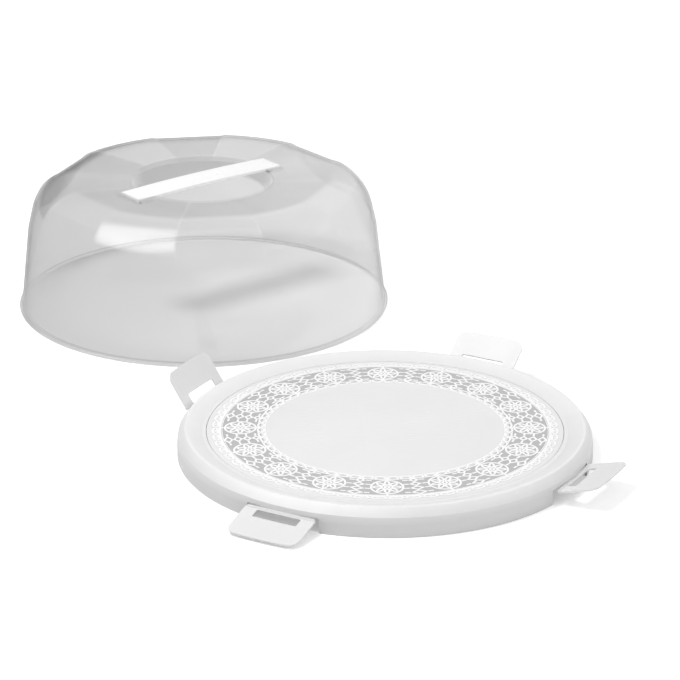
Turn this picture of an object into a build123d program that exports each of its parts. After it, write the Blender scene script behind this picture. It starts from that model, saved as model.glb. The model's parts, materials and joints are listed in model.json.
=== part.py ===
from build123d import *
import math
import os

# Round cake carrier: a tray with four hinged latches, and a clear dome lid with a carrying strap.
# The origin is the tray's centre on the table, +X is to the right, +Y is to the back, +Z is up.
# The dome is off the tray and stands on the table behind it. All sizes are in millimetres.

# Tray: a shallow round dish on a turned-down skirt
tray_radius = 165.0
tray_wall = 1.8
skirt_straight = 10.0
shoulder_foot_height = 16.0
shoulder_draft = 0.8
shoulder_width = 5.2
crest_height = 22.7
crest_width = 2.2
crest_rounding = 0.9
dish_height = 19.0
dish_slope_width = 11.7
dish_ledge_width = 3.1

# Serving disc: a printed disc let into the dish, flush with it
disc_thickness = 1.5
disc_clearance = 0.4
disc_edge_rounding = 0.3

# Latches: four flaps, each in a notch of the skirt
latch_count = 4
first_latch_azimuth = -119.0
latch_width = 60.0
latch_length = 33.0
latch_thickness = 1.5
latch_corner = 8.0
latch_tip_bow = 1.2
latch_side_clearance = 1.0
hinge_height = 11.4
hinge_clearance = 0.3
slot_width = 38.0
slot_play_below = 5.2
slot_play_above = 1.1
slot_corner = 1.2
# How far each latch is open in this pose, in degrees above the horizontal
front_left_angle = -14.0
right_angle = 16.0
back_right_angle = 36.0
back_left_angle = 56.0

# Dome: a drafted round wall on a lip, and a round shoulder with six flat panels let into it
dome_azimuth = 114.93
dome_gap = 45.1
dome_turn = 38.5
dome_height = 117.4
dome_wall = 1.8
seat_height = 19.1
lip_overhang = 0.5
lip_thickness = 2.3
lip_rounding = 0.8
wall_draft = 6.5
lean_foot_height = 72.0
lean_angle = 13.0
bend_radius = 36.0
top_slope = 2.4
panel_count = 6
panel_span = 30.0
panel_crease_drop = 12.4
panel_recess = 0.4

# Finger well in the dome's top, with a raised landing under each end of the strap
well_rim_radius = 62.0
well_flare = 4.0
well_depth = 25.4
well_floor_rounding = 4.0
rim_chamfer = 1.2
landing_depth = 13.4
landing_distance = 35.0

# Carrying strap: a bowed bar with a snap leg at each end, let into two seats in the top
strap_overlap = 16.3
strap_width = 27.7
strap_thickness = 2.6
strap_bow = 1.6
strap_end_drop = 2.8
strap_clearance = 0.3
strap_edge_rounding = 0.6
leg_setback = 8.5
leg_thickness = 2.4
leg_width = 12.0
leg_barb = 1.3
leg_barb_height = 2.6
leg_play = 0.2


def slope(angle):
    """The sideways run per unit of height, or the rise per unit of run, of an angle in degrees."""
    return math.tan(math.radians(angle))


def direction(azimuth):
    """The level direction at an azimuth in degrees, counted from +X towards +Y."""
    return Vector(math.cos(math.radians(azimuth)), math.sin(math.radians(azimuth)), 0)


# Where the pieces meet
shoulder_foot_radius = tray_radius - shoulder_draft
crest_outer_radius = shoulder_foot_radius - shoulder_width
crest_inner_radius = crest_outer_radius - crest_width
dish_slope_foot_radius = crest_inner_radius - dish_slope_width
disc_seat_radius = dish_slope_foot_radius - dish_ledge_width
disc_radius = disc_seat_radius - disc_clearance
disc_seat_height = dish_height - disc_thickness

# The lip's inner edge sits on the tray's shoulder when the carrier is closed
shoulder_share = (seat_height - shoulder_foot_height) / (crest_height - shoulder_foot_height)
lid_inner_radius = shoulder_foot_radius - shoulder_width * shoulder_share
wall_foot_radius = lid_inner_radius + dome_wall / math.cos(math.radians(wall_draft))
lip_radius = tray_radius + lip_overhang

dome_centre = direction(dome_azimuth) * (tray_radius + lip_radius + dome_gap)
dome_axis = Axis(dome_centre, (0, 0, 1))
up = Vector(0, 0, 1)


def dome_section(turn):
    """The upright plane through the dome's axis, turned from the strap by an angle in degrees."""
    azimuth = dome_turn + turn
    return Plane(origin=dome_centre, x_dir=direction(azimuth), z_dir=direction(azimuth - 90))


def dome_level(height):
    """The level plane at a height, with its x along the strap."""
    return Plane(origin=dome_centre + up * height, x_dir=direction(dome_turn), z_dir=up)


def wall_radius(height):
    """The outer radius of the dome's round wall at a height."""
    return wall_foot_radius - height * slope(wall_draft)


# The shoulder leans in above the wall, then bends into the top, which dips towards the well
lean_foot_radius = wall_radius(lean_foot_height)
bend_height = dome_height - bend_radius
bend_distance = (lean_foot_radius - (bend_height - lean_foot_height) * slope(lean_angle)
                 - bend_radius / math.cos(math.radians(lean_angle)))

# A flat panel's bend stops at a crease, from where a flat face runs out to the foot of the lean
crease_height = dome_height - panel_crease_drop
crease_angle = math.degrees(math.asin((crease_height - bend_height + panel_recess) / bend_radius))
crease_reach = bend_radius * math.cos(math.radians(crease_angle))
crease_distance = (bend_distance + crease_reach) * math.cos(math.radians(panel_span / 2)) - panel_recess
flat_slope = (lean_foot_radius - crease_distance) / (crease_height - lean_foot_height)

# How far these outlines run on past the dome's axis and the floor, so that an inset doesn't bare their edges
overrun = 20.0


def top_height(distance):
    """The height of the round top at a distance from the dome's axis."""
    over_bend = bend_height + bend_radius / math.cos(math.radians(top_slope))
    return over_bend - (bend_distance - distance) * slope(top_slope)


def upright_face(bend_centre, first_angle, *points):
    """The face under a bend and the top, from the points up the wall to past the axis and the floor."""
    with BuildSketch(Plane.XY) as face:
        with BuildLine():
            bend = CenterArc(bend_centre, bend_radius, first_angle, 90 + top_slope - first_angle)
            top_end = bend @ 1 - Vector(1, slope(top_slope)) * ((bend @ 1).X + overrun)
            Polyline(bend @ 0, *points, (-overrun, -overrun), top_end, bend @ 1)
        make_face()
    return face.sketch


round_face = upright_face((bend_distance, bend_height), lean_angle, (lean_foot_radius, lean_foot_height),
                          (wall_radius(-overrun), -overrun))
panel_face = upright_face((crease_distance - crease_reach, bend_height - panel_recess), crease_angle,
                          (crease_distance + (crease_height + overrun) * flat_slope, -overrun))


def dome_body(inset):
    """The dome as a closed block, its wall, panels and top moved in by an inset."""
    half_span = math.radians(panel_span / 2)
    reach = 2 * lip_radius
    set_back = inset / math.sin(half_span)
    half_width = (reach + set_back) * math.tan(half_span)
    with BuildPart() as panel_cut:
        with BuildSketch(dome_level(0)):
            Polygon((-set_back, 0), (reach, -half_width), (reach, half_width), align=None)
        extrude(amount=dome_height)
        with BuildSketch(dome_section(0)):
            add(panel_face)
            if inset:
                offset(amount=-inset)
        extrude(amount=lip_radius, both=True, mode=Mode.SUBTRACT)
    with BuildPart() as body:
        with BuildSketch(dome_section(0)):
            add(round_face)
            if inset:
                offset(amount=-inset)
            Rectangle(lip_radius, dome_height, align=Align.MIN, mode=Mode.INTERSECT)
        revolve(axis=dome_axis)
        for index in range(panel_count):
            add(panel_cut.part.rotate(dome_axis, index * 360 / panel_count), mode=Mode.SUBTRACT)
    return body.part


def well_space(inset):
    """The finger well's space, its floor and sides moved out by an inset."""
    floor_height = dome_height - well_depth - inset
    landing_height = dome_height - landing_depth - inset
    rim_height = top_height(well_rim_radius)
    rim = well_rim_radius + inset
    with BuildPart() as space:
        with BuildSketch(dome_section(0)) as outline:
            Polygon((0, floor_height), (rim - well_flare, floor_height), (rim, rim_height - rim_chamfer),
                    (rim + rim_chamfer + dome_height - rim_height, dome_height), (0, dome_height), align=None)
            fillet(outline.vertices().group_by(Axis.Y)[0].sort_by(Axis.X)[-1], well_floor_rounding + inset)
        revolve(axis=dome_axis)
        with BuildSketch(dome_level(floor_height)):
            for side in (0, 180):
                with PolarLocations(landing_distance + inset, 1, start_angle=side):
                    Rectangle(rim, 2 * rim, align=(Align.MIN, Align.CENTER))
        extrude(amount=landing_height - floor_height, mode=Mode.SUBTRACT)
    return space.part


strap_length = 2 * (well_rim_radius + strap_overlap)
strap_end_top = dome_height - strap_end_drop
strap_end_bottom = strap_end_top - strap_thickness


def seat_space(inset):
    """The space of the seats that the strap's two ends lie in, moved out by an inset."""
    seat_floor = strap_end_bottom - inset
    with BuildPart() as space:
        with BuildSketch(dome_level(seat_floor)):
            Rectangle(strap_length + 2 * (strap_clearance + inset), strap_width + 2 * (strap_clearance + inset))
        extrude(amount=dome_height - seat_floor)
    return space.part


# The dome lid: one wall thickness all over, also round the well and the seats
dome_block = dome_body(0)
dome_hollow = dome_body(dome_wall)
well = well_space(0)
well_shell = well_space(dome_wall)
seats = seat_space(0)
seats_shell = seat_space(dome_wall)
leg_distance = well_rim_radius + leg_setback

with BuildPart() as hollow:
    add(dome_hollow)
    add(well_shell, mode=Mode.SUBTRACT)
    add(seats_shell, mode=Mode.SUBTRACT)

with BuildPart() as dome_lid:
    with BuildSketch(dome_level(0)):
        Circle(lip_radius)
    extrude(amount=lip_thickness)
    fillet(dome_lid.edges().filter_by(GeomType.CIRCLE), lip_rounding)
    add(dome_block)
    add(hollow.part, mode=Mode.SUBTRACT)
    add(well, mode=Mode.SUBTRACT)
    add(seats, mode=Mode.SUBTRACT)
    with BuildSketch(dome_level(strap_end_bottom)):
        with PolarLocations(leg_distance, 2):
            Rectangle(leg_thickness + 2 * strap_clearance, leg_width + 2 * strap_clearance)
    extrude(amount=-2 * dome_wall, mode=Mode.SUBTRACT)
dome_lid.part.label = "dome_lid"

# The carrying strap, bowed up in the middle, with a barbed leg down through each seat
half_strap = strap_length / 2
leg_inside = leg_distance - leg_thickness / 2
leg_outside = leg_distance + leg_thickness / 2
leg_top = strap_end_top - strap_thickness / 2
barb_top = strap_end_bottom - dome_wall - leg_play
leg_bottom = barb_top - leg_barb_height

with BuildPart() as carry_handle:
    with BuildSketch(dome_section(0)):
        with BuildLine():
            Line((-half_strap, strap_end_bottom), (-half_strap, strap_end_top))
            ThreePointArc((-half_strap, strap_end_top), (0, strap_end_top + strap_bow), (half_strap, strap_end_top))
            Line((half_strap, strap_end_top), (half_strap, strap_end_bottom))
            ThreePointArc((half_strap, strap_end_bottom), (0, strap_end_bottom + strap_bow),
                          (-half_strap, strap_end_bottom))
        make_face()
    extrude(amount=strap_width / 2, both=True)
    fillet(carry_handle.faces().sort_by(Axis.Z)[-1].edges(), strap_edge_rounding)
    with BuildSketch(dome_section(0)):
        for side in (-1, 1):
            Polygon((side * leg_inside, leg_top), (side * leg_inside, leg_bottom), (side * leg_outside, leg_bottom),
                    (side * (leg_outside + leg_barb), barb_top), (side * leg_outside, barb_top),
                    (side * leg_outside, leg_top), align=None)
    extrude(amount=leg_width / 2, both=True)
carry_handle.part.label = "carry_handle"

# The tray: one wall thickness all over, from the skirt's edge over the crest into the dish
notch_top = hinge_height + hinge_clearance
notch_width = latch_width + 2 * latch_side_clearance

with BuildPart() as tray_base:
    with BuildSketch(Plane.XZ):
        with BuildLine():
            Polyline((0, disc_seat_height),
                     (disc_seat_radius, disc_seat_height),
                     (disc_seat_radius, dish_height),
                     (dish_slope_foot_radius, dish_height),
                     (crest_inner_radius, crest_height),
                     (crest_outer_radius, crest_height),
                     (shoulder_foot_radius, shoulder_foot_height),
                     (tray_radius, skirt_straight),
                     (tray_radius, 0))
            offset(amount=tray_wall, side=Side.RIGHT)
        make_face()
    revolve(axis=Axis.Z)
    fillet(tray_base.edges().filter_by(GeomType.CIRCLE).group_by(Axis.Z)[-1], crest_rounding)
    with BuildSketch(Plane.XY):
        with PolarLocations(tray_radius, latch_count, start_angle=first_latch_azimuth):
            Rectangle(tray_radius / 3, notch_width)
    extrude(amount=notch_top, mode=Mode.SUBTRACT)
tray_base.part.label = "tray_base"

with BuildPart() as serving_disc:
    with BuildSketch(Plane.XY.offset(disc_seat_height)):
        Circle(disc_radius)
    extrude(amount=disc_thickness)
    fillet(serving_disc.edges().group_by(Axis.Z)[-1], disc_edge_rounding)
serving_disc.part.label = "serving_disc"


def latch_plane(azimuth, open_angle):
    """The latch's inner face: its origin on the hinge line, its x along the flap."""
    outward = direction(azimuth)
    hinge = outward * (tray_radius + hinge_clearance) + up * hinge_height
    rise = math.sin(math.radians(open_angle))
    run = math.cos(math.radians(open_angle))
    return Plane(origin=hinge, x_dir=outward * run + up * rise, z_dir=up * run - outward * rise)


# The latches: each flap's slot spans the dome's lip when the flap is up against the skirt
slot_start = seat_height - slot_play_below - hinge_height
slot_end = seat_height + lip_thickness + slot_play_above - hinge_height
half_latch = latch_width / 2
latch_angles = {
    "latch_front_left": front_left_angle,
    "latch_right": right_angle,
    "latch_back_right": back_right_angle,
    "latch_back_left": back_left_angle,
}

latches = []
for index, (latch_name, open_angle) in enumerate(latch_angles.items()):
    azimuth = first_latch_azimuth + index * 360 / latch_count
    with BuildPart() as latch:
        with BuildSketch(latch_plane(azimuth, open_angle)) as flap:
            with BuildLine():
                Polyline((latch_length, -half_latch), (hinge_clearance, -half_latch),
                         (hinge_clearance, half_latch), (latch_length, half_latch))
                ThreePointArc((latch_length, half_latch), (latch_length + latch_tip_bow, 0),
                              (latch_length, -half_latch))
            make_face()
            fillet(flap.vertices().group_by(Axis.X)[-1], latch_corner)
            with Locations((slot_start, 0)):
                RectangleRounded(slot_end - slot_start, slot_width, slot_corner, align=(Align.MIN, Align.CENTER),
                                 mode=Mode.SUBTRACT)
        extrude(amount=-latch_thickness)
    latch.part.label = latch_name
    latches.append(latch.part)

os.makedirs("parts", exist_ok=True)
for piece in [dome_lid.part, carry_handle.part, tray_base.part, serving_disc.part, *latches]:
    export_step(piece, f"parts/{piece.label}.step")
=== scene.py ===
# Round cake carrier: a frosted tray with four hinged latches and a printed disc, and beside it
# its clear panelled dome with a white carrying strap. Sizes are in metres, the origin is the
# tray's centre on the table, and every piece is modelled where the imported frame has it.
import json
import math

import bpy
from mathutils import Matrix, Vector


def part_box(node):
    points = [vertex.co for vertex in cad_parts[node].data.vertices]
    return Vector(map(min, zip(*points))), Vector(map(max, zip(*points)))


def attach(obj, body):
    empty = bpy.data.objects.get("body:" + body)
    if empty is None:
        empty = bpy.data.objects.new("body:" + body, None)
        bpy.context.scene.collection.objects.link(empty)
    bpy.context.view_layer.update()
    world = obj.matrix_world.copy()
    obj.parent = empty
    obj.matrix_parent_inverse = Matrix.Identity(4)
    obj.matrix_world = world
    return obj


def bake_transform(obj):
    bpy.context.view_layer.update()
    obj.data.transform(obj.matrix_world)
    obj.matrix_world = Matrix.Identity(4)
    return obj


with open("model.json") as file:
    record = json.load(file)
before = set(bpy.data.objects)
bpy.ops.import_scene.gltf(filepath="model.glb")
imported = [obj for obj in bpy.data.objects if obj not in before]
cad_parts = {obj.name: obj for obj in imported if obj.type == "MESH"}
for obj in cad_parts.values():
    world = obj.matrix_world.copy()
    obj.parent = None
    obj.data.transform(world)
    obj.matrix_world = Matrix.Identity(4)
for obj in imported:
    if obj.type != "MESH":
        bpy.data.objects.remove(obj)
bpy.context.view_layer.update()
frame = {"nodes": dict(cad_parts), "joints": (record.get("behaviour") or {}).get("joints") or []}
nodes = frame["nodes"]

# Studio
# A pale table top in a pale room, under a large soft lamp at the upper left and a weaker one at the
# right. Past the object the camera sees the table as white, and through the clear dome as pale
# grey. Gloss shows a broad glow where the large lamp is, and a dim corner at the back left.


def linear(code):
    """The linear colour of an sRGB hex value such as E8E8EA."""
    parts = [int(code[start:start + 2], 16) / 255 for start in (0, 2, 4)]
    return [part / 12.92 if part <= 0.04045 else ((part + 0.055) / 1.055) ** 2.4 for part in parts] + [1]


def add_node(tree, kind, inputs=None, **settings):
    """Adds a node to a tree. An input is a value or another node's output."""
    made = tree.nodes.new(kind)
    for name, value in settings.items():
        setattr(made, name, value)
    for name, value in (inputs or {}).items():
        if isinstance(value, bpy.types.NodeSocket):
            tree.links.new(value, made.inputs[name])
        else:
            made.inputs[name].default_value = value
    return made


def empty_tree(owner):
    """Clears the nodes of a material or a world and returns its tree."""
    owner.use_nodes = True
    owner.node_tree.nodes.clear()
    return owner.node_tree


bpy.context.scene.view_settings.view_transform = "Standard"

# The camera stands where the photograph's did, found from the rims of the tray and the dome
bpy.ops.object.camera_add(location=(-0.0357, -2.1702, 0.943), rotation=(math.radians(68.63), 0, 0))
camera = bpy.context.object
camera.data.lens = 157.24
camera.data.clip_end = 30
bpy.context.scene.camera = camera

# To gloss the room's walls are pale, with a grey band 17 degrees up and a white one 25 degrees up.
# The levels are the sine of the height.
room = bpy.data.worlds.new("pale_room")
bpy.context.scene.world = room
tree = empty_tree(room)
ray = add_node(tree, "ShaderNodeTexCoord").outputs["Generated"]
level = add_node(tree, "ShaderNodeSeparateXYZ", {0: ray}).outputs["Z"]
walls = add_node(tree, "ShaderNodeValToRGB", {0: level})
walls.color_ramp.elements[0].color = linear("E8E8E8")
walls.color_ramp.elements[1].color = linear("DADADA")
for height, shade in {0.2: "E0E0E0", 0.29: "CECECE", 0.36: "F0F0F0", 0.42: "FFFFFF", 0.6: "F0F0F0"}.items():
    walls.color_ramp.elements.new(height).color = linear(shade)

# The glow and the dim corner: the direction of each, the angles from it at which it ends and at
# which it is full, and how bright it is against the walls
glow = ((-0.46, -0.245, 0.853), 44, 14, 5.0)
dim_corner = ((-0.50, 0.86, 0.06), 35, 14, 0.1)
gloss_power = 1.0
for centre, end_angle, full_angle, brightness in (glow, dim_corner):
    turned = add_node(tree, "ShaderNodeVectorMath", {0: ray, 1: Vector(centre).normalized()},
                      operation="DOT_PRODUCT")
    patch = add_node(tree, "ShaderNodeMapRange", {"Value": turned.outputs["Value"],
                                                  "From Min": math.cos(math.radians(end_angle)),
                                                  "From Max": math.cos(math.radians(full_angle)),
                                                  "To Min": 1, "To Max": brightness},
                     interpolation_type="SMOOTHSTEP")
    gloss_power = add_node(tree, "ShaderNodeMath", {0: gloss_power, 1: patch.outputs[0]},
                           operation="MULTIPLY").outputs[0]

sight = add_node(tree, "ShaderNodeLightPath")
sees_white = add_node(tree, "ShaderNodeMath", {0: sight.outputs["Is Camera Ray"],
                                               1: sight.outputs["Is Transmission Ray"]}, operation="MAXIMUM")
room_light = add_node(tree, "ShaderNodeBackground", {"Color": linear("F6F6F6"), "Strength": 0.7})
room_gloss = add_node(tree, "ShaderNodeBackground", {"Color": walls.outputs[0], "Strength": gloss_power})
white = add_node(tree, "ShaderNodeBackground", {"Color": linear("FFFFFF"), "Strength": 1.0})
in_gloss = add_node(tree, "ShaderNodeMixShader", {0: sight.outputs["Is Glossy Ray"], 1: room_light.outputs[0],
                                                  2: room_gloss.outputs[0]})
in_white = add_node(tree, "ShaderNodeMixShader", {0: sees_white.outputs[0], 1: in_gloss.outputs[0],
                                                  2: white.outputs[0]})
add_node(tree, "ShaderNodeOutputWorld", {"Surface": in_white.outputs[0]})


def soft_lamp(name, place, target, width, depth, power):
    """A softbox that looks at a target. Gloss doesn't show it."""
    bpy.ops.object.light_add(type="AREA", location=place)
    lamp = bpy.context.object
    lamp.name = name
    lamp.rotation_euler = (Vector(target) - Vector(place)).to_track_quat("-Z", "Y").to_euler()
    lamp.data.shape = "RECTANGLE"
    lamp.data.size = width
    lamp.data.size_y = depth
    lamp.data.energy = power
    lamp.visible_glossy = False


soft_lamp("key_softbox", (-0.88, -0.135, 1.81), (-0.158, 0.341, 0.11), width=0.6, depth=0.45, power=17)
soft_lamp("fill_softbox", (1.3, -1.1, 1.2), (-0.08, 0.17, 0.05), width=0.7, depth=0.9, power=5)

# The table lies a hair below the object. The grey it shows through the dome is paler to the right,
# from the dome's left edge to its right one: painted shade, deeper at the left under the dome.
table_drop = 0.0002
bpy.ops.mesh.primitive_plane_add(size=14, location=(0, 1.5, -table_drop))
table = bpy.context.object
table.name = "table_top"
table_finish = bpy.data.materials.new("white_table_top")
tree = empty_tree(table_finish)
place = add_node(tree, "ShaderNodeTexCoord").outputs["Object"]
across = add_node(tree, "ShaderNodeSeparateXYZ", {0: place}).outputs["X"]
shade_to_right = add_node(tree, "ShaderNodeMapRange", {"Value": across, "From Min": -0.33, "From Max": 0.02})
table_grey_and_shade = add_node(tree, "ShaderNodeMix", {0: shade_to_right.outputs[0], 6: linear("D4D4D4"),
                                              7: linear("F2F2F2")}, data_type="RGBA")
grey = add_node(tree, "ShaderNodeBsdfDiffuse", {"Color": table_grey_and_shade.outputs[2]})
bright = add_node(tree, "ShaderNodeBsdfDiffuse", {"Color": linear("F5F5F5")})
lift = add_node(tree, "ShaderNodeEmission", {"Color": linear("FFFFFF"), "Strength": 0.32})
lifted = add_node(tree, "ShaderNodeAddShader", {0: bright.outputs[0], 1: lift.outputs[0]})
sight = add_node(tree, "ShaderNodeLightPath")
unveiled = add_node(tree, "ShaderNodeMath", {0: sight.outputs["Transparent Depth"], 1: 0.5},
                    operation="LESS_THAN")
seen_bare = add_node(tree, "ShaderNodeMath", {0: sight.outputs["Is Camera Ray"], 1: unveiled.outputs[0]},
                     operation="MULTIPLY")
mixed = add_node(tree, "ShaderNodeMixShader", {0: seen_bare.outputs[0], 1: grey.outputs[0],
                                               2: lifted.outputs[0]})
add_node(tree, "ShaderNodeOutputMaterial", {"Surface": mixed.outputs[0]})
table.data.materials.append(table_finish)

# Tray
# Injection-moulded polypropylene with a frosted face: a shallow dish on a turned-down skirt, in
# one wall. The imported tray has the real shape, so it only gets its finish here.
# Painted shade on the tray's upright skirt: a greyer foot, full up to 10 mm over the table and gone by 22 mm
foot_shade_full = 0.010
foot_shade_end = 0.022


def dress(node_name, material):
    """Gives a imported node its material."""
    for slot in nodes[node_name].material_slots:
        slot.material = material


def moulded(name, light, dark, cloud, grain, depth, gloss, foot=None, **sockets):
    """An opaque or cloudy moulded plastic on object coordinates.

    The colour drifts from light to dark over the size of a cloud, the skin has a grain of a size
    and a depth, and the roughness drifts between the two values of gloss. A foot is painted shade:
    the colour of the lowest 10 mm over the table, which fades out by 22 mm.
    """
    material = bpy.data.materials.new(name)
    tree = empty_tree(material)
    place = add_node(tree, "ShaderNodeTexCoord").outputs["Object"]
    drift = add_node(tree, "ShaderNodeTexNoise", {"Vector": place, "Scale": 1 / cloud,
                                                  "Detail": 4}).outputs["Fac"]
    colour = add_node(tree, "ShaderNodeMix", {0: drift, 6: linear(light), 7: linear(dark)},
                      data_type="RGBA").outputs[2]
    if foot:
        level = add_node(tree, "ShaderNodeSeparateXYZ", {0: place}).outputs["Z"]
        rise = add_node(tree, "ShaderNodeMapRange", {"Value": level, "From Min": foot_shade_full,
                                                     "From Max": foot_shade_end})
        colour = add_node(tree, "ShaderNodeMix", {0: rise.outputs[0], 6: linear(foot), 7: colour},
                          data_type="RGBA").outputs[2]
    shine = add_node(tree, "ShaderNodeMapRange", {"Value": drift, "From Min": 0.3, "From Max": 0.7,
                                                  "To Min": gloss[0], "To Max": gloss[1]})
    skin = add_node(tree, "ShaderNodeTexNoise", {"Vector": place, "Scale": 1 / grain, "Detail": 2})
    relief = add_node(tree, "ShaderNodeBump", {"Height": skin.outputs["Fac"], "Distance": depth})
    surface = add_node(tree, "ShaderNodeBsdfPrincipled", {"Base Color": colour, "Roughness": shine.outputs[0],
                                                          "Normal": relief.outputs[0], **sockets})
    add_node(tree, "ShaderNodeOutputMaterial", {"Surface": surface.outputs[0]})
    return material


# Frosted polypropylene, etched in the mould: a pale, cloudy grey white with a wide dull sheen.
# Its real grain of 0.1 mm wouldn't show, so it is drawn at 0.8 mm. The upright skirt is painted
# greyer than the crest, as shade, and the flaps, which are thin, are a copy of it painted greyer, as shade.
haze = {"IOR": 1.49, "Subsurface Weight": 0.25, "Subsurface Radius": (1, 1, 1), "Subsurface Scale": 0.003,
        "Coat Weight": 0.35, "Coat Roughness": 0.2}
frosted = moulded("frosted_polypropylene", "F1F1F1", "E6E6E6", cloud=0.03, grain=0.0008, depth=0.00006,
                  gloss=(0.34, 0.46), foot="D6D6D6", **haze)
shaded_frosted = moulded("shaded_frosted_polypropylene", "E9E9E9", "E0E0E0", cloud=0.03, grain=0.0008,
                       depth=0.00006, gloss=(0.34, 0.46), **haze)
dress("tray_base", frosted)

# Serving disc
# A smooth white polypropylene sheet, cut round and let into the dish. Its print is a pale grey
# band, and over it the lace below.
lace_inside = 0.0985
lace_outside = 0.1305
print_edge = 0.0004
scratch_length = 0.02
scratch_width = 0.0004
scratch_depth = 0.000008

# Printed sheet, gloss from the calender's rolls: clear soft reflections, with scratches from use
# that run every way. Real ones are under 0.1 mm wide and wouldn't show, so they are drawn at 0.4 mm.
disc_finish = bpy.data.materials.new("printed_polypropylene_sheet")
tree = empty_tree(disc_finish)
place = add_node(tree, "ShaderNodeTexCoord").outputs["Object"]
flat_place = add_node(tree, "ShaderNodeVectorMath", {0: place, 1: (1, 1, 0)}, operation="MULTIPLY")
reach = add_node(tree, "ShaderNodeVectorMath", {0: flat_place.outputs[0]},
                 operation="LENGTH").outputs["Value"]
inner_side = add_node(tree, "ShaderNodeMapRange", {"Value": reach, "From Min": lace_inside,
                                                   "From Max": lace_inside + print_edge})
outer_side = add_node(tree, "ShaderNodeMapRange", {"Value": reach, "From Min": lace_outside,
                                                   "From Max": lace_outside + print_edge,
                                                   "To Min": 1, "To Max": 0})
in_band = add_node(tree, "ShaderNodeMath", {0: inner_side.outputs[0], 1: outer_side.outputs[0]},
                   operation="MULTIPLY")
drift = add_node(tree, "ShaderNodeTexNoise", {"Vector": place, "Scale": 1 / 0.05, "Detail": 3}).outputs["Fac"]
sheet_colour = add_node(tree, "ShaderNodeMix", {0: drift, 6: linear("EAEAEA"), 7: linear("E2E2E2")},
                        data_type="RGBA")
print_colour = add_node(tree, "ShaderNodeMix", {0: drift, 6: linear("BCBCBC"), 7: linear("B0B0B0")},
                        data_type="RGBA")
colour = add_node(tree, "ShaderNodeMix", {0: in_band.outputs[0], 6: sheet_colour.outputs[2],
                                          7: print_colour.outputs[2]}, data_type="RGBA")
scratches = 0.0
for turn in (0.4, 1.5, 2.6):
    streak = add_node(tree, "ShaderNodeMapping", {"Vector": place, "Rotation": (0, 0, turn),
                                                  "Scale": (1 / scratch_length, 1 / scratch_width, 1)})
    streak = add_node(tree, "ShaderNodeTexNoise", {"Vector": streak.outputs[0], "Scale": 1, "Detail": 0})
    streak = add_node(tree, "ShaderNodeMapRange", {"Value": streak.outputs["Fac"], "From Min": 0.76,
                                                   "From Max": 0.84})
    scratches = add_node(tree, "ShaderNodeMath", {0: scratches, 1: streak.outputs[0]},
                         operation="MAXIMUM").outputs[0]
shine = add_node(tree, "ShaderNodeMapRange", {"Value": scratches, "To Min": 0.24, "To Max": 0.34})
relief = add_node(tree, "ShaderNodeBump", {"Height": scratches, "Distance": scratch_depth}, invert=True)
surface = add_node(tree, "ShaderNodeBsdfPrincipled", {"Base Color": colour.outputs[2],
                                                      "Roughness": shine.outputs[0],
                                                      "Normal": relief.outputs[0], "IOR": 1.49})
add_node(tree, "ShaderNodeOutputMaterial", {"Surface": surface.outputs[0]})
dress("serving_disc", disc_finish)

# Lace
# A round of lace printed on the disc in thick white ink: rosettes between ladders of lozenges, a
# band outside them, scallops round the edge and loops inside. One repeat is drawn, then copied.
disc_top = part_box("serving_disc")[1].z
ink_height = 0.00008
thread = 0.0017
thread_lift = 0.000003
repeats = 16
turn_of_repeat = 2 * math.pi / repeats
threads = []


def lay_thread(x, y, turn=0.0):
    """Moves the thread just drawn to its place, a hair above the last one, and keeps it for joining."""
    drawn = bpy.context.object
    drawn.location = (x, y, disc_top + thread_lift * len(threads))
    drawn.rotation_euler.z = turn
    threads.append(drawn)


def thread_loop(x, y, length, width, turn=0.0, corners=32, thickness=thread):
    """A closed loop of thread, oval or with few corners, its length along X before it is turned."""
    bpy.ops.mesh.primitive_circle_add(vertices=corners, radius=0.5, fill_type="NGON")
    bpy.ops.object.mode_set(mode="EDIT")
    bpy.ops.transform.resize(value=(length, width, 1))
    bpy.ops.mesh.inset(thickness=thickness)
    bpy.ops.mesh.delete(type="FACE")
    bpy.ops.object.mode_set(mode="OBJECT")
    lay_thread(x, y, turn)


def thread_bar(start, end):
    """A straight thread from one point to another."""
    run = Vector(end) - Vector(start)
    bpy.ops.mesh.primitive_plane_add(size=1)
    bpy.ops.object.mode_set(mode="EDIT")
    bpy.ops.transform.resize(value=(run.length, thread, 1))
    bpy.ops.object.mode_set(mode="OBJECT")
    centre = (Vector(start) + Vector(end)) / 2
    lay_thread(centre.x, centre.y, math.atan2(run.y, run.x))


def on_round(distance, turn):
    """The point at a distance from the tray's axis, turned from +X."""
    return distance * math.cos(turn), distance * math.sin(turn)


def join_threads():
    """Makes one mesh of the threads, in the first one's object, with its place in the mesh."""
    for drawn in threads:
        drawn.select_set(True)
    bpy.context.view_layer.objects.active = threads[0]
    bpy.ops.object.transform_apply(location=True, rotation=True, scale=True)
    bpy.ops.object.join()


bpy.ops.object.select_all(action="DESELECT")

# The rosette: a ring tied to the bands, and in it eight petals round an eye
rosette_middle = 0.1148
ring_width = 0.0262
eye_width = 0.0052
petal_out = 0.0071
petal_length = 0.0084
petal_width = 0.0052
tie_start = 0.0128
tie_end = 0.0158
thread_loop(rosette_middle, 0, ring_width, ring_width, corners=48)
thread_loop(rosette_middle, 0, eye_width, eye_width, corners=24)
for petal in range(8):
    turn = petal * math.pi / 4
    x, y = on_round(petal_out, turn)
    thread_loop(rosette_middle + x, y, petal_length, petal_width, turn)
for side in (-1, 1):
    thread_bar((rosette_middle + side * tie_start, 0), (rosette_middle + side * tie_end, 0))

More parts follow.
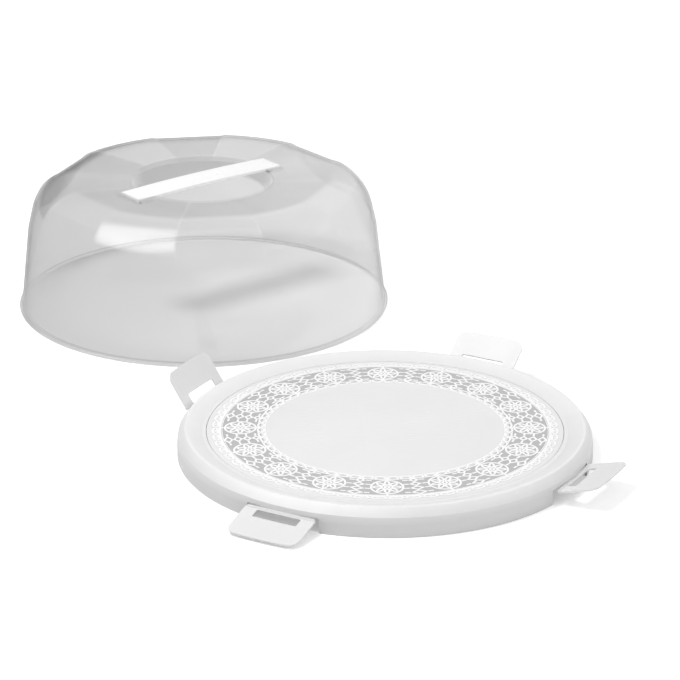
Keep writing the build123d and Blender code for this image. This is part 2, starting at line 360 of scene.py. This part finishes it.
# The ladder of lozenges between two rosettes, each lozenge with its distance from the axis, its
# length and its width, and with a rung at either side
rung = 0.0042
half = turn_of_repeat / 2
for distance, length, width in ((0.1036, 0.0080, 0.0088), (0.1108, 0.0078, 0.0104),
                                (0.1182, 0.0082, 0.0122), (0.1258, 0.0082, 0.0140)):
    thread_loop(*on_round(distance, half), length, width, half, corners=4)
    for side in (-1, 1):
        near = on_round(distance, half + side * width / 2 / distance)
        far = on_round(distance, half + side * (width / 2 + rung) / distance)
        thread_bar(near, far)

# Scallops and their small eyes round the edge, and then a round of loops inside
scallop_distance = 0.1345
scallop_eye_distance = 0.1340
loop_distance = 0.0985
quarters = [(part + 0.5) * turn_of_repeat / 4 for part in range(4)]
for turn in quarters:
    thread_loop(*on_round(scallop_distance, turn), 0.0062, 0.0126, turn)
    thread_loop(*on_round(scallop_eye_distance, turn), 0.0028, 0.0050, turn, corners=16,
                thickness=thread * 0.8)
for turn in quarters:
    thread_loop(*on_round(loop_distance, turn), 0.0066, 0.0098, turn, corners=24)

join_threads()
lace = bpy.context.object
bpy.ops.object.mode_set(mode="EDIT")
bpy.ops.mesh.select_all(action="SELECT")
bpy.ops.mesh.spin(steps=repeats - 1, angle=turn_of_repeat * (repeats - 1), dupli=True,
                  center=(0, 0, disc_top), axis=(0, 0, 1))
bpy.ops.object.mode_set(mode="OBJECT")

# The bands run all round, each with its radius and thickness: a broad and a thin one outside the
# rosettes, and two thin ones inside them
bpy.ops.object.select_all(action="DESELECT")
threads = [lace]
for radius, thickness in ((0.1320, 0.0020), (0.1296, 0.0006), (0.1014, 0.0010), (0.0956, 0.0008)):
    thread_loop(0, 0, 2 * radius, 2 * radius, corners=256, thickness=thickness)
join_threads()
ink = lace.modifiers.new("ink", "SOLIDIFY")
ink.thickness = ink_height
ink.offset = 1
bpy.ops.object.modifier_apply(modifier=ink.name)
lace.name = "lace_print"

# White screen ink: dense, smooth and a little duller than the sheet under it
white_ink = moulded("white_screen_ink", "FBFBFB", "F5F5F5", cloud=0.02, grain=0.0012, depth=0.00001,
                    gloss=(0.28, 0.36), **{"IOR": 1.5})
lace.data.materials.append(white_ink)
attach(lace, "tray")

# Latches
# Four flaps of the tray's own plastic, each with a slot that takes the dome's lip. Each hangs on a
# film hinge, a thin strip moulded between the skirt's notch and the flap, laid in a fixed bend.
film_width = 0.058
film_thickness = 0.0002
film_stub = 0.0001
shut_angle = 95
for joint in frame["joints"]:
    if joint["type"] != "hinge":
        continue
    latch = joint["child"]
    # The flaps take the shaded copy of the frosted plastic: painted shade, greyer than the tray
    dress(latch, shaded_frosted)
    hinge = Vector(joint["pos_m"])
    azimuth = math.atan2(hinge.y, hinge.x)

    # The film's route from the hinge line, outwards along X and up along Z: it leaves the notch's
    # edge, comes down to the hinge line and runs on along the flap at the angle of that latch
    open_angle = math.radians(shut_angle - joint["range_deg"][1])
    along_flap = Vector((math.cos(open_angle), 0, math.sin(open_angle)))
    off_flap = Vector((-math.sin(open_angle), 0, math.cos(open_angle)))
    route = [Vector((-0.0006, 0, 0.0006)), Vector((-0.00045, 0, 0.0003)), Vector((-0.0001, 0, 0.00012)),
             along_flap * 0.0003 + off_flap * 0.0001, along_flap * 0.0012 + off_flap * 0.0001]

    # A narrow stub ends where the route starts, and its far edge is extruded along the route
    bpy.ops.object.select_all(action="DESELECT")
    bpy.ops.mesh.primitive_plane_add(size=1)
    film = bpy.context.object
    film.name = latch.replace("latch", "hinge_film")
    bpy.ops.object.mode_set(mode="EDIT")
    bpy.ops.transform.resize(value=(film_stub, film_width, 1))
    bpy.ops.transform.translate(value=route[0] - Vector((film_stub / 2, 0, 0)))
    bpy.ops.mesh.select_mode(type="EDGE")
    bpy.ops.mesh.select_all(action="DESELECT")
    bpy.ops.object.mode_set(mode="OBJECT")
    furthest = max(vertex.co.x for vertex in film.data.vertices)
    for edge in film.data.edges:
        edge.select = all(abs(film.data.vertices[end].co.x - furthest) < 1e-6 for end in edge.vertices)
    bpy.ops.object.mode_set(mode="EDIT")
    for start, end in zip(route, route[1:]):
        bpy.ops.mesh.extrude_region_move(TRANSFORM_OT_translate={"value": end - start})
    bpy.ops.object.mode_set(mode="OBJECT")
    skin = film.modifiers.new("film", "SOLIDIFY")
    skin.thickness = film_thickness
    skin.offset = 0
    bpy.ops.object.modifier_apply(modifier=skin.name)
    film.location = hinge
    film.rotation_euler.z = azimuth
    bpy.ops.object.transform_apply(location=True, rotation=True, scale=True)
    film.data.materials.append(shaded_frosted)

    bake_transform(film)

# Dome lid
# Clear polystyrene, injection-moulded in one piece: a drafted round wall on a lip, a round
# shoulder with six flat panels let into it, and a finger well in the middle of the top.
dome_low, dome_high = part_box("dome_lid")
dome_middle = (dome_low + dome_high) / 2
table_level = -dome_middle.z
top_level = dome_high.z - dome_middle.z

# The wall is thin against its size, so what lies behind shows through it unbent. Its skin waves a
# little. The fourth power of the tilt to the sight line says how far a spot is seen at a slant,
# and the ninth how far at a steep one.
clear_finish = bpy.data.materials.new("clear_polystyrene")
tree = empty_tree(clear_finish)
wave_length = 0.045
wave_height = 0.0004
place = add_node(tree, "ShaderNodeTexCoord").outputs["Object"]
flow = add_node(tree, "ShaderNodeTexNoise", {"Vector": place, "Scale": 1 / wave_length, "Detail": 2})
relief = add_node(tree, "ShaderNodeBump", {"Height": flow.outputs["Fac"], "Distance": wave_height,
                                           "Strength": 0.5})
tilt = add_node(tree, "ShaderNodeLayerWeight", {"Blend": 0.5, "Normal": relief.outputs[0]}).outputs["Facing"]
slant = add_node(tree, "ShaderNodeMath", {0: tilt, 1: 4.0}, operation="POWER").outputs[0]
steep_slant = add_node(tree, "ShaderNodeMath", {0: tilt, 1: 9.0}, operation="POWER").outputs[0]

# Places on the dome: a spot's level over the dome's middle, and its reach and turn round the axis.
# The turn starts at a ridge, as the strap runs over the middles of two flat panels at 38.5 degrees.
ridge_step = math.radians(30)
first_ridge = math.radians(38.5 - 15)
well_rim = 0.0632
spot = add_node(tree, "ShaderNodeVectorMath", {0: place, 1: dome_middle}, operation="SUBTRACT").outputs[0]
spot_parts = add_node(tree, "ShaderNodeSeparateXYZ", {0: spot}).outputs
level = spot_parts["Z"]
flat_spot = add_node(tree, "ShaderNodeVectorMath", {0: spot, 1: (1, 1, 0)}, operation="MULTIPLY").outputs[0]
reach = add_node(tree, "ShaderNodeVectorMath", {0: flat_spot}, operation="LENGTH").outputs["Value"]
turn = add_node(tree, "ShaderNodeMath", {0: spot_parts["Y"], 1: spot_parts["X"]},
                operation="ARCTAN2").outputs[0]
turn = add_node(tree, "ShaderNodeMath", {0: turn, 1: first_ridge}, operation="SUBTRACT").outputs[0]
past_well = add_node(tree, "ShaderNodeMath", {0: reach, 1: well_rim}, operation="GREATER_THAN").outputs[0]
in_well = add_node(tree, "ShaderNodeMath", {0: 1.0, 1: past_well}, operation="SUBTRACT").outputs[0]

# Painted shade: on the top the flat panels are drawn a little darker than the round ones between
# them, but not at the front, away from the dim corner
top_start = top_level - 0.014
top_full = top_level - 0.004
to_dim_corner = (-0.5, 0.866, 0)
flat_shade_start = -0.02
flat_shade_full = 0.07
in_pair = add_node(tree, "ShaderNodeMath", {0: turn, 1: 2 * ridge_step, 2: 0}, operation="WRAP").outputs[0]
is_flat = add_node(tree, "ShaderNodeMath", {0: in_pair, 1: ridge_step}, operation="LESS_THAN").outputs[0]
on_top = add_node(tree, "ShaderNodeMapRange", {"Value": level, "From Min": top_start,
                                               "From Max": top_full}).outputs[0]
to_dim = add_node(tree, "ShaderNodeVectorMath", {0: spot, 1: to_dim_corner}, operation="DOT_PRODUCT")
off_front = add_node(tree, "ShaderNodeMapRange", {"Value": to_dim.outputs["Value"], "From Min": flat_shade_start,
                                                  "From Max": flat_shade_full}).outputs[0]
flat_panel_shade = is_flat
for limit in (on_top, past_well, off_front):
    flat_panel_shade = add_node(tree, "ShaderNodeMath", {0: flat_panel_shade, 1: limit}, operation="MULTIPLY").outputs[0]

# Painted highlight: each ridge between two panels gets a thin light edge, where a rounded ridge
# would catch the light. It comes in from the shoulder's foot to the top and ends at the rim of the well
ridge_width = 0.0010
ridge_foot = table_level + 0.070
ridge_head = top_level - 0.006
off_ridge = add_node(tree, "ShaderNodeMath", {0: turn, 1: ridge_step / 2}, operation="PINGPONG").outputs[0]
off_ridge = add_node(tree, "ShaderNodeMath", {0: off_ridge, 1: reach}, operation="MULTIPLY").outputs[0]
ridge_highlight = add_node(tree, "ShaderNodeMapRange", {"Value": off_ridge, "From Max": ridge_width, "To Min": 1,
                                                    "To Max": 0}).outputs[0]
over_foot = add_node(tree, "ShaderNodeMapRange", {"Value": level, "From Min": ridge_foot,
                                                  "From Max": ridge_head}).outputs[0]
for limit in (over_foot, past_well):
    ridge_highlight = add_node(tree, "ShaderNodeMath", {0: ridge_highlight, 1: limit},
                           operation="MULTIPLY").outputs[0]

# The lip stays clearer at a slant than the wall over it, and a thin pale line runs between the two:
# a painted highlight along the crease
lip_top = table_level + 0.0032
lip_fade = 0.002
lip_line_width = 0.0005
above_lip = add_node(tree, "ShaderNodeMapRange", {"Value": level, "From Min": lip_top,
                                                  "From Max": lip_top + lip_fade}).outputs[0]
slant_cast = add_node(tree, "ShaderNodeMix", {0: above_lip, 6: linear("DADADA"), 7: linear("9C9C9C")},
                      data_type="RGBA").outputs[2]
lip_highlight_line = add_node(tree, "ShaderNodeMath", {0: level, 1: lip_top, 2: lip_line_width},
                       operation="COMPARE").outputs[0]

# In the well only the wall has a cast, and only at the back: painted shade on the upright back wall
well_side = 0.0550
well_back = 0.03
at_back = add_node(tree, "ShaderNodeMapRange", {"Value": spot_parts["Y"], "From Max": well_back}).outputs[0]
on_side = add_node(tree, "ShaderNodeMath", {0: reach, 1: well_side}, operation="GREATER_THAN").outputs[0]
back_side = add_node(tree, "ShaderNodeMath", {0: on_side, 1: at_back}, operation="MULTIPLY").outputs[0]
well_back_shade = add_node(tree, "ShaderNodeMix", {0: back_side, 6: linear("FFFFFF"), 7: linear("EEEEEE")},
                     data_type="RGBA").outputs[2]

# The cast of the plastic, faint seen straight on and grey at a slant, with those places laid over it:
# the painted shade of the flat panels and the well's back wall, and the painted highlights of the lip
# line and the ridges
cast = linear("FCFCFC")
for share, shade in ((flat_panel_shade, linear("F5F5F5")), (steep_slant, slant_cast),
                     (lip_highlight_line, linear("ECECEC")), (ridge_highlight, linear("FFFFFF")), (in_well, well_back_shade)):
    cast = add_node(tree, "ShaderNodeMix", {0: share, 6: cast, 7: shade}, data_type="RGBA").outputs[2]

# A sight line may pass only so many clear surfaces, and then meets black. So past the fourth the
# wall lets it through by a refraction that bends nothing, in the same cast. That shader tints by
# the root of its colour, which is squared for it.
layers_seen_clear = 3.5
see_through = add_node(tree, "ShaderNodeBsdfTransparent", {"Color": cast})
squared_cast = add_node(tree, "ShaderNodeGamma", {"Color": cast, "Gamma": 2}).outputs[0]
pass_through = add_node(tree, "ShaderNodeBsdfPrincipled", {"Base Color": squared_cast, "Roughness": 0,
                                                           "IOR": 1, "Transmission Weight": 1})
sight = add_node(tree, "ShaderNodeLightPath").outputs
seen = add_node(tree, "ShaderNodeMath", {0: sight["Is Camera Ray"], 1: sight["Is Transmission Ray"]},
                operation="MAXIMUM").outputs[0]
deep = add_node(tree, "ShaderNodeMath", {0: sight["Transparent Depth"], 1: layers_seen_clear},
                operation="GREATER_THAN").outputs[0]
deep_seen = add_node(tree, "ShaderNodeMath", {0: deep, 1: seen}, operation="MULTIPLY").outputs[0]
through = add_node(tree, "ShaderNodeMixShader", {0: deep_seen, 1: see_through.outputs[0],
                                                 2: pass_through.outputs[0]})

# The mirror on it is soft, grows with the slant, and is weak in the well
mirror_straight_on = 0.05
mirror_at_slant = 0.6
mirror_in_well = 0.15
mirror = add_node(tree, "ShaderNodeBsdfGlossy", {"Color": linear("FFFFFF"), "Roughness": 0.12,
                                                 "Normal": relief.outputs[0]})
mirror_share = add_node(tree, "ShaderNodeMapRange", {"Value": slant, "To Min": mirror_straight_on,
                                                     "To Max": mirror_at_slant}).outputs[0]
well_share = add_node(tree, "ShaderNodeMapRange", {"Value": past_well, "To Min": mirror_in_well,
                                                   "To Max": 1}).outputs[0]
mirror_share = add_node(tree, "ShaderNodeMath", {0: mirror_share, 1: well_share},
                        operation="MULTIPLY").outputs[0]
surface = add_node(tree, "ShaderNodeMixShader", {0: mirror_share, 1: through.outputs[0],
                                                 2: mirror.outputs[0]})
add_node(tree, "ShaderNodeOutputMaterial", {"Surface": surface.outputs[0]})
dress("dome_lid", clear_finish)

# Carrying strap
# White polypropylene, moulded as one bar and pushed through the dome's two seats, where its legs
# snap in. It is smooth, with a soft gloss.
strap_finish = moulded("white_polypropylene", "FBFBFB", "F7F7F7", cloud=0.04, grain=0.001, depth=0.00002,
                       gloss=(0.26, 0.34), **{"IOR": 1.49, "Subsurface Weight": 0.1,
                                              "Subsurface Radius": (1, 1, 1), "Subsurface Scale": 0.002})
dress("carry_handle", strap_finish)
